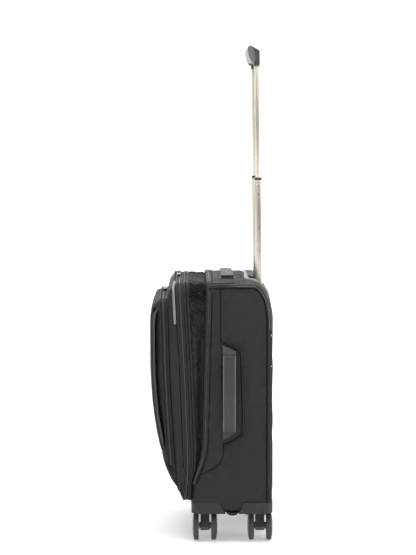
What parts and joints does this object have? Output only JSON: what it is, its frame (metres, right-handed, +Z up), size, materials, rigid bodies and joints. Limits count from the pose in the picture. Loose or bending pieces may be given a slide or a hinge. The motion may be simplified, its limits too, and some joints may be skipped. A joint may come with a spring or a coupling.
{
  "type": "softside upright suitcase",
  "caption": "Carry-on softside spinner suitcase with a drawn-out telescopic handle, an opened expansion gusset, a padded lid with pockets, carry handles and swivelling twin-wheel casters.",
  "frame": {"origin": "middle of the bounding box's foot, on the floor under the wheels", "axes": "+Z up; -Y towards the lid and its pockets; +Y towards the telescopic handle; +X towards the side with the carry handle"},
  "size_m": [0.3666, 0.258, 1.0455],
  "materials": {
    "shell_fabric": "dense black woven nylon, satin",
    "gusset_fabric": "thin black woven nylon, matt",
    "lining": "light grey woven polyester",
    "trim_grey": "moulded grey, semi-gloss",
    "moulded_black": "moulded black-grey, satin",
    "wheel": "grey-green wheel with a soft tread",
    "tube_metal": "champagne anodised aluminium",
    "zip_metal": "dark plated zip hardware",
    "steel": "bright steel"
  },
  "bodies": {
    "case": {"back_lining": "lining", "back_panel": "shell_fabric", "base_panel": "shell_fabric", "corner_guard_left": "trim_grey", "corner_guard_right": "trim_grey", "expansion_gusset": "gusset_fabric", "guide_tube_left": "steel", "guide_tube_right": "steel", "mouth_rim": "shell_fabric", "side_handle_bracket_lower": "moulded_black", "side_handle_bracket_upper": "trim_grey", "side_panel_left": "shell_fabric", "side_panel_right": "shell_fabric", "top_handle_bracket_left": "moulded_black", "top_handle_bracket_right": "moulded_black", "top_panel": "shell_fabric", "trolley_cup": "trim_grey", "trolley_foot": "moulded_black", "wheel_housing_front_left": "moulded_black", "wheel_housing_front_right": "moulded_black", "wheel_housing_rear_left": "moulded_black", "wheel_housing_rear_right": "moulded_black"},
    "front_frame": {"front_frame": "shell_fabric"},
    "lid": {"lid_shell": "shell_fabric", "front_pocket": "shell_fabric", "slip_pocket_panel": "shell_fabric"},
    "handle_middle_stage": {"middle_tube_left": "tube_metal", "middle_tube_right": "tube_metal", "tube_collar_left": "moulded_black", "tube_collar_right": "moulded_black"},
    "handle_upper_stage": {"inner_tube_left": "tube_metal", "inner_tube_right": "tube_metal", "grip": "moulded_black"},
    "release_button": {"release_button": "trim_grey"},
    "top_handle": {"top_handle_strap": "trim_grey"},
    "side_handle": {"side_handle_strap": "trim_grey"},
    "caster_front_right": {"caster_fork_front_right": "moulded_black", "caster_axle_front_right": "steel"},
    "wheel_front_right_a": {"wheel_front_right_a": "wheel"},
    "wheel_front_right_b": {"wheel_front_right_b": "wheel"},
    "caster_front_left": {"caster_fork_front_left": "moulded_black", "caster_axle_front_left": "steel"},
    "wheel_front_left_a": {"wheel_front_left_a": "wheel"},
    "wheel_front_left_b": {"wheel_front_left_b": "wheel"},
    "caster_rear_right": {"caster_fork_rear_right": "moulded_black", "caster_axle_rear_right": "steel"},
    "wheel_rear_right_a": {"wheel_rear_right_a": "wheel"},
    "wheel_rear_right_b": {"wheel_rear_right_b": "wheel"},
    "caster_rear_left": {"caster_fork_rear_left": "moulded_black", "caster_axle_rear_left": "steel"},
    "wheel_rear_left_a": {"wheel_rear_left_a": "wheel"},
    "wheel_rear_left_b": {"wheel_rear_left_b": "wheel"},
    "main_zip_a": {"main_zip_a_slider": "zip_metal"},
    "main_zip_a_pull": {"main_zip_a_pull": "zip_metal"},
    "main_zip_b": {"main_zip_b_slider": "zip_metal"},
    "main_zip_b_pull": {"main_zip_b_pull": "zip_metal"},
    "pocket_zip": {"pocket_zip_slider": "zip_metal"},
    "pocket_zip_pull": {"pocket_zip_pull": "zip_metal"},
    "expansion_zip": {"expansion_zip_slider": "zip_metal"},
    "expansion_zip_pull": {"expansion_zip_pull": "zip_metal"}
  },
  "joints": [
    {"name": "expansion_fold", "type": "hinge", "parent": "case", "child": "front_frame", "pos_m": [0, -0.043, 0.128], "axis": [-1, 0, 0], "range_deg": [0, 5], "deforming": ["expansion_gusset"]},
    {"name": "lid_open", "type": "hinge", "parent": "front_frame", "child": "lid", "pos_m": [-0.1705, -0.06, 0.32], "axis": [0, 0, -1], "range_deg": [0, 110]},
    {"name": "handle_lower_stage", "type": "slide", "parent": "case", "child": "handle_middle_stage", "axis": [0, -0.0145, 0.9999], "range_m": [-0.268, 0]},
    {"name": "handle_upper_stage", "type": "slide", "parent": "handle_middle_stage", "child": "handle_upper_stage", "axis": [0, -0.0145, 0.9999], "range_m": [-0.235, 0]},
    {"name": "release_press", "type": "slide", "parent": "handle_upper_stage", "child": "release_button", "axis": [0, -0.4874, -0.8732], "range_m": [0, 0.003], "stiffness_N_per_m": 400},
    {"name": "top_handle_lift", "type": "slide", "parent": "case", "child": "top_handle", "axis": [0, 0, 1], "range_m": [0, 0.018]},
    {"name": "side_handle_pull", "type": "slide", "parent": "case", "child": "side_handle", "axis": [1, 0, 0], "range_m": [0, 0.018]},
    {"name": "swivel_front_right", "type": "hinge", "parent": "case", "child": "caster_front_right", "pos_m": [0.118, -0.014, 0.0615], "axis": [0, 0, 1], "continuous": true},
    {"name": "roll_front_right_a", "type": "hinge", "parent": "caster_front_right", "child": "wheel_front_right_a", "pos_m": [0.133, -0.014, 0.03], "axis": [0, 1, 0], "continuous": true},
    {"name": "roll_front_right_b", "type": "hinge", "parent": "caster_front_right", "child": "wheel_front_right_b", "pos_m": [0.133, -0.014, 0.03], "axis": [0, 1, 0], "continuous": true},
    {"name": "swivel_front_left", "type": "hinge", "parent": "case", "child": "caster_front_left", "pos_m": [-0.118, -0.014, 0.0615], "axis": [0, 0, 1], "continuous": true},
    {"name": "roll_front_left_a", "type": "hinge", "parent": "caster_front_left", "child": "wheel_front_left_a", "pos_m": [-0.103, -0.014, 0.03], "axis": [0, 1, 0], "continuous": true},
    {"name": "roll_front_left_b", "type": "hinge", "parent": "caster_front_left", "child": "wheel_front_left_b", "pos_m": [-0.103, -0.014, 0.03], "axis": [0, 1, 0], "continuous": true},
    {"name": "swivel_rear_right", "type": "hinge", "parent": "case", "child": "caster_rear_right", "pos_m": [0.118, 0.1025, 0.0615], "axis": [0, 0, 1], "continuous": true},
    {"name": "roll_rear_right_a", "type": "hinge", "parent": "caster_rear_right", "child": "wheel_rear_right_a", "pos_m": [0.133, 0.1025, 0.03], "axis": [0, 1, 0], "continuous": true},
    {"name": "roll_rear_right_b", "type": "hinge", "parent": "caster_rear_right", "child": "wheel_rear_right_b", "pos_m": [0.133, 0.1025, 0.03], "axis": [0, 1, 0], "continuous": true},
    {"name": "swivel_rear_left", "type": "hinge", "parent": "case", "child": "caster_rear_left", "pos_m": [-0.118, 0.1025, 0.0615], "axis": [0, 0, 1], "continuous": true},
    {"name": "roll_rear_left_a", "type": "hinge", "parent": "caster_rear_left", "child": "wheel_rear_left_a", "pos_m": [-0.103, 0.1025, 0.03], "axis": [0, 1, 0], "continuous": true},
    {"name": "roll_rear_left_b", "type": "hinge", "parent": "caster_rear_left", "child": "wheel_rear_left_b", "pos_m": [-0.103, 0.1025, 0.03], "axis": [0, 1, 0], "continuous": true},
    {"name": "main_zip_a_run", "type": "slide", "parent": "lid", "child": "main_zip_a", "axis": [1, 0, 0], "range_m": [0, 0.1]},
    {"name": "main_zip_a_pull_flip", "type": "hinge", "parent": "main_zip_a", "child": "main_zip_a_pull", "pos_m": [-0.03, -0.07, 0.5531], "axis": [0, -1, 0], "range_deg": [0, 105]},
    {"name": "main_zip_b_run", "type": "slide", "parent": "lid", "child": "main_zip_b", "axis": [-1, 0, 0], "range_m": [0, 0.065]},
    {"name": "main_zip_b_pull_flip", "type": "hinge", "parent": "main_zip_b", "child": "main_zip_b_pull", "pos_m": [-0.066, -0.07, 0.5531], "axis": [0, 1, 0], "range_deg": [0, 105]},
    {"name": "pocket_zip_run", "type": "slide", "parent": "lid", "child": "pocket_zip", "axis": [-1, 0, 0], "range_m": [-0.16, 0.06]},
    {"name": "pocket_zip_pull_flip", "type": "hinge", "parent": "pocket_zip", "child": "pocket_zip_pull", "pos_m": [-0.062, -0.101, 0.5194], "axis": [0, -1, 0], "range_deg": [0, 165]},
    {"name": "expansion_zip_run", "type": "slide", "parent": "case", "child": "expansion_zip", "axis": [0, 0.0265, 0.9996], "range_m": [0, 0.28]},
    {"name": "expansion_zip_pull_flip", "type": "hinge", "parent": "expansion_zip", "child": "expansion_zip_pull", "pos_m": [-0.1806, -0.0141, 0.225], "axis": [0, 1, 0], "range_deg": [0, 165]}
  ]
}
